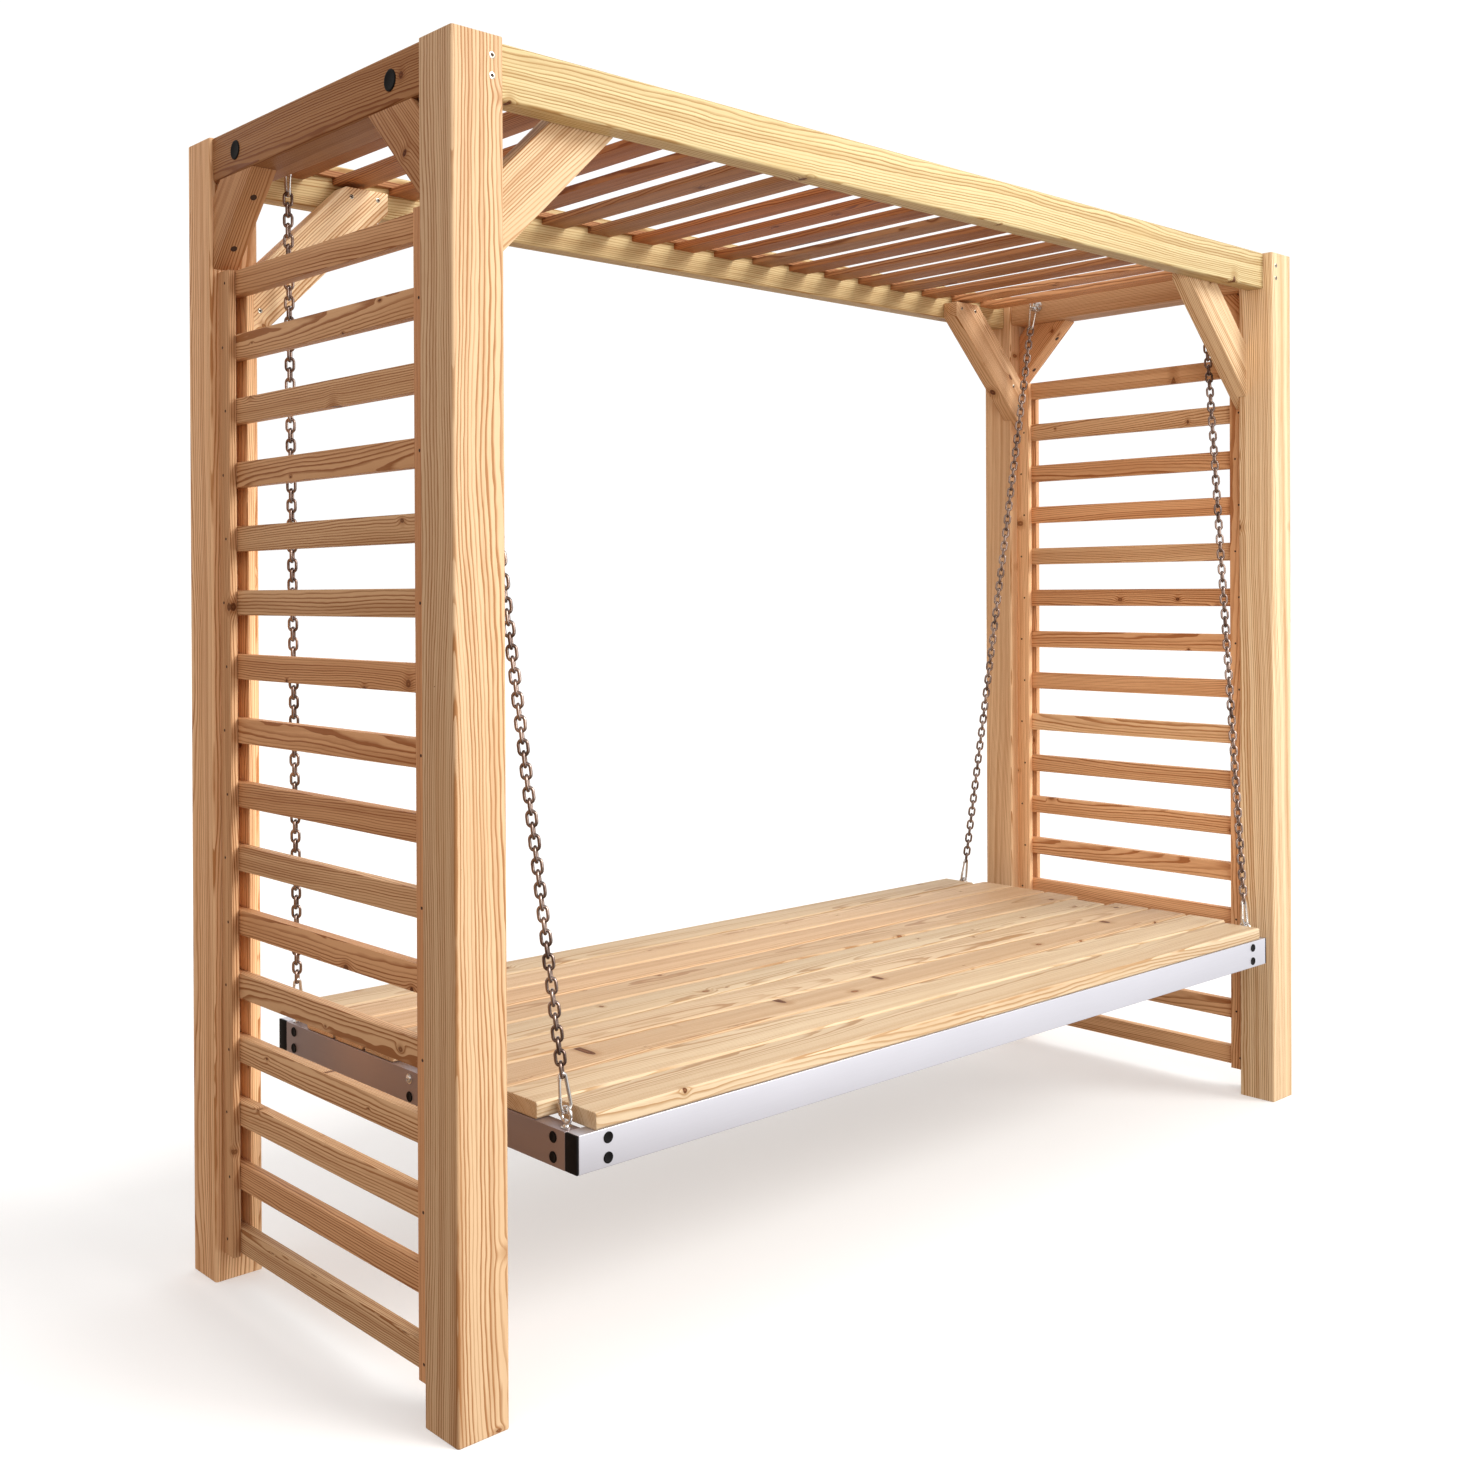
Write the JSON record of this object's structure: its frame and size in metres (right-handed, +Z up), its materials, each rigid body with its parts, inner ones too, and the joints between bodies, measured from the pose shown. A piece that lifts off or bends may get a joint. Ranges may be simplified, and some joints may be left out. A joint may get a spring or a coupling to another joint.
{
  "type": "porch swing",
  "caption": "Free-standing timber porch swing: a braced post frame with slatted sides and roof boards, and a wide boarded bed that hangs on chains.",
  "frame": {"origin": "centre of the footprint of the whole object, on the ground", "axes": "+X along the bed to the right, -Y out of the open front, +Z up"},
  "size_m": [2.4, 0.952, 2.058],
  "materials": {
    "larch_frame": "planed and oiled larch",
    "larch_screen": "planed and oiled larch",
    "larch_roof": "planed and oiled larch",
    "larch_deck": "planed and oiled larch",
    "aluminium": "satin anodised",
    "black_plastic": "matt moulded",
    "steel": "bright zinc plated"
  },
  "bodies": {
    "frame": {"post_front_left": "larch_frame", "post_front_right": "larch_frame", "post_rear_left": "larch_frame", "post_rear_right": "larch_frame", "front_beam": "larch_frame", "rear_beam": "larch_frame", "left_beam": "larch_frame", "right_beam": "larch_frame", "long_brace_front_left": "larch_frame", "long_brace_front_right": "larch_frame", "long_brace_rear_left": "larch_frame", "long_brace_rear_right": "larch_frame", "side_brace_front_left": "larch_frame", "side_brace_front_right": "larch_frame", "side_brace_rear_left": "larch_frame", "side_brace_rear_right": "larch_frame", "left_screen": "larch_screen", "right_screen": "larch_screen", "inner_batten_front_left": "larch_screen", "inner_batten_front_right": "larch_screen", "inner_batten_rear_left": "larch_screen", "inner_batten_rear_right": "larch_screen", "roof_boards": "larch_roof", "top_eye_front_left": "steel", "top_eye_front_right": "steel", "top_eye_rear_left": "steel", "top_eye_rear_right": "steel"},
    "chain_front_left": {"chain_front_left": "steel"},
    "chain_front_right": {"chain_front_right": "steel"},
    "chain_rear_left": {"chain_rear_left": "steel"},
    "chain_rear_right": {"chain_rear_right": "steel"},
    "bed": {"bed_front_rail": "aluminium", "bed_rear_rail": "aluminium", "bed_left_rail": "aluminium", "bed_right_rail": "aluminium", "bed_centre_rail": "aluminium", "cross_bar_front_left": "aluminium", "cross_bar_front_right": "aluminium", "cross_bar_rear_left": "aluminium", "cross_bar_rear_right": "aluminium", "rail_cap_front_left": "black_plastic", "rail_cap_front_right": "black_plastic", "rail_cap_rear_left": "black_plastic", "rail_cap_rear_right": "black_plastic", "deck_board_1": "larch_deck", "deck_board_2": "larch_deck", "deck_board_3": "larch_deck", "deck_board_4": "larch_deck", "deck_board_5": "larch_deck", "deck_board_6": "larch_deck", "deck_board_7": "larch_deck", "deck_board_8": "larch_deck", "deck_board_9": "larch_deck", "low_eye_front_left": "steel", "low_eye_front_right": "steel", "low_eye_rear_left": "steel", "low_eye_rear_right": "steel"}
  },
  "joints": [
    {"name": "swing", "type": "hinge", "parent": "frame", "child": "chain_front_left", "pos_m": [-1.095, -0.261, 2.006], "axis": [1, 0, 0], "range_deg": [-5.5, 5.5]},
    {"name": "chain_front_right_pivot", "type": "hinge", "parent": "frame", "child": "chain_front_right", "pos_m": [1.095, -0.261, 2.006], "axis": [1, 0, 0], "range_deg": [-5.6, 5.6]},
    {"name": "chain_rear_left_pivot", "type": "hinge", "parent": "frame", "child": "chain_rear_left", "pos_m": [-1.095, 0.261, 2.006], "axis": [1, 0, 0], "range_deg": [-5.6, 5.6]},
    {"name": "chain_rear_right_pivot", "type": "hinge", "parent": "frame", "child": "chain_rear_right", "pos_m": [1.095, 0.261, 2.006], "axis": [1, 0, 0], "range_deg": [-5.6, 5.6]},
    {"name": "bed_pivot", "type": "hinge", "parent": "chain_front_left", "child": "bed", "pos_m": [-0.997, -0.43, 0.4432], "axis": [1, 0, 0], "range_deg": [-5.5, 5.5]}
  ],
  "couplings": [
    {"joint": "chain_front_right_pivot", "follows": "swing", "ratio": 1},
    {"joint": "chain_rear_left_pivot", "follows": "swing", "ratio": 1},
    {"joint": "chain_rear_right_pivot", "follows": "swing", "ratio": 1},
    {"joint": "bed_pivot", "follows": "swing", "ratio": -0.6064}
  ]
}
